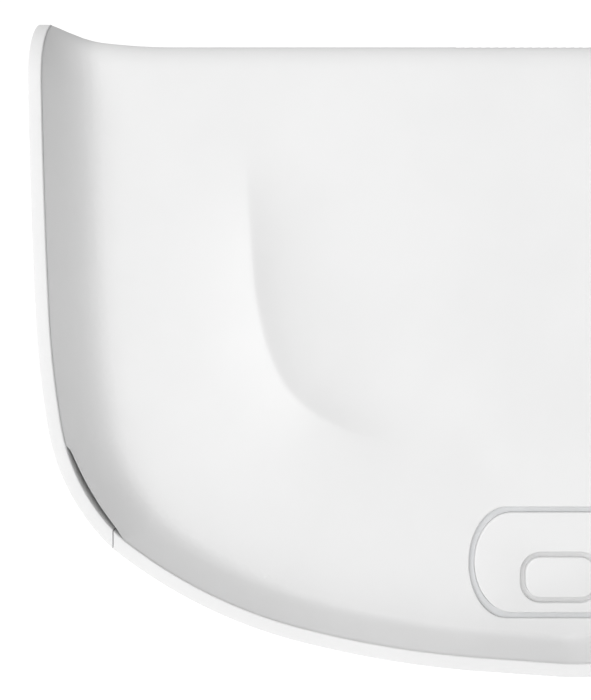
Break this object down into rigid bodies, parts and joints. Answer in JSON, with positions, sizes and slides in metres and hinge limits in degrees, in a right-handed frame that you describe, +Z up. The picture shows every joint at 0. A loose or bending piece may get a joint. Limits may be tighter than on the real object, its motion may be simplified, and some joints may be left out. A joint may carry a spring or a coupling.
{
  "type": "video doorbell",
  "caption": "Wide scoop-faced video doorbell on a wall bracket, with a sprung bell button, offset camera window and a battery cartridge that slides out below.",
  "frame": {"origin": "centre of the bracket's back face, midway between the two wall screw holes, on the wall", "axes": "+X to the right seen from the front, along the width; +Y into the wall, so the face looks along -Y; +Z up"},
  "size_m": [0.1152, 0.028, 0.0699],
  "materials": {
    "shell_plastic": "fine satin moulded white",
    "button_plastic": "fine satin moulded white",
    "bracket_plastic": "plain moulded pale grey",
    "tray_plastic": "plain moulded black",
    "black_gloss": "polished black",
    "window_glass": "smoked clear",
    "lens_glass": "coated lens",
    "milky_plastic": "milky polyethylene",
    "light_guide": "frosted translucent",
    "led_resin": "dark clear resin",
    "circuit_board": "green solder mask",
    "component_black": "moulded black",
    "tin_plate": "tinned sheet",
    "screw_steel": "plated steel",
    "gold_contact": "gold flash",
    "antenna_copper": "copper on film",
    "seal_rubber": "soft silicone",
    "cell_wrap": "laminated pouch foil"
  },
  "bodies": {
    "wall_bracket": {"bracket_plate": "bracket_plastic"},
    "housing": {"rear_housing": "shell_plastic", "front_cover": "shell_plastic", "left_cheek": "shell_plastic", "right_cheek": "shell_plastic", "housing_seal": "seal_rubber", "housing_screws": "screw_steel", "main_board": "circuit_board", "board_screws": "screw_steel", "rf_shield": "tin_plate", "wifi_antenna": "antenna_copper", "speaker": "component_black", "speaker_seal": "seal_rubber", "microphone": "tin_plate", "microphone_boot": "seal_rubber", "camera_window": "window_glass", "camera_bezel": "black_gloss", "lens_barrel": "component_black", "camera_lens": "lens_glass", "camera_board": "circuit_board", "infrared_leds": "led_resin", "pir_sensor": "tin_plate", "pir_lens": "milky_plastic", "light_ring": "light_guide", "button_switch": "component_black", "button_spring": "seal_rubber", "terminal_block": "component_black", "terminal_screws": "screw_steel", "setup_switch": "component_black", "contact_pins": "gold_contact"},
    "bell_button": {"button_cap": "button_plastic", "button_inlay": "button_plastic"},
    "setup_button": {"setup_button": "component_black"},
    "battery_cartridge": {"bottom_cover": "shell_plastic", "battery_tray": "tray_plastic", "battery_cell_left": "cell_wrap", "battery_cell_right": "cell_wrap", "battery_board": "circuit_board", "usb_port": "tin_plate", "contact_pads": "gold_contact"},
    "security_screw": {"security_screw": "screw_steel", "screw_retainer": "screw_steel"}
  },
  "joints": [
    {"name": "housing_lift", "type": "slide", "parent": "wall_bracket", "child": "housing", "axis": [0, 0, 1], "range_m": [0, 0.0042]},
    {"name": "bell_press", "type": "slide", "parent": "housing", "child": "bell_button", "axis": [0, 1, 0], "range_m": [0, 0.0006], "stiffness_N_per_m": 1500, "springref_m": -0.0004, "deforming": ["button_spring"]},
    {"name": "setup_press", "type": "slide", "parent": "housing", "child": "setup_button", "axis": [0, -1, 0], "range_m": [0, 0.0005], "stiffness_N_per_m": 1500, "springref_m": -0.0004},
    {"name": "cartridge_slide", "type": "slide", "parent": "housing", "child": "battery_cartridge", "axis": [0, 0, -1], "range_m": [0, 0.038]},
    {"name": "security_screw_turn", "type": "hinge", "parent": "battery_cartridge", "child": "security_screw", "pos_m": [0, -0.0069, -0.034], "axis": [0, 0, 1], "continuous": true}
  ]
}
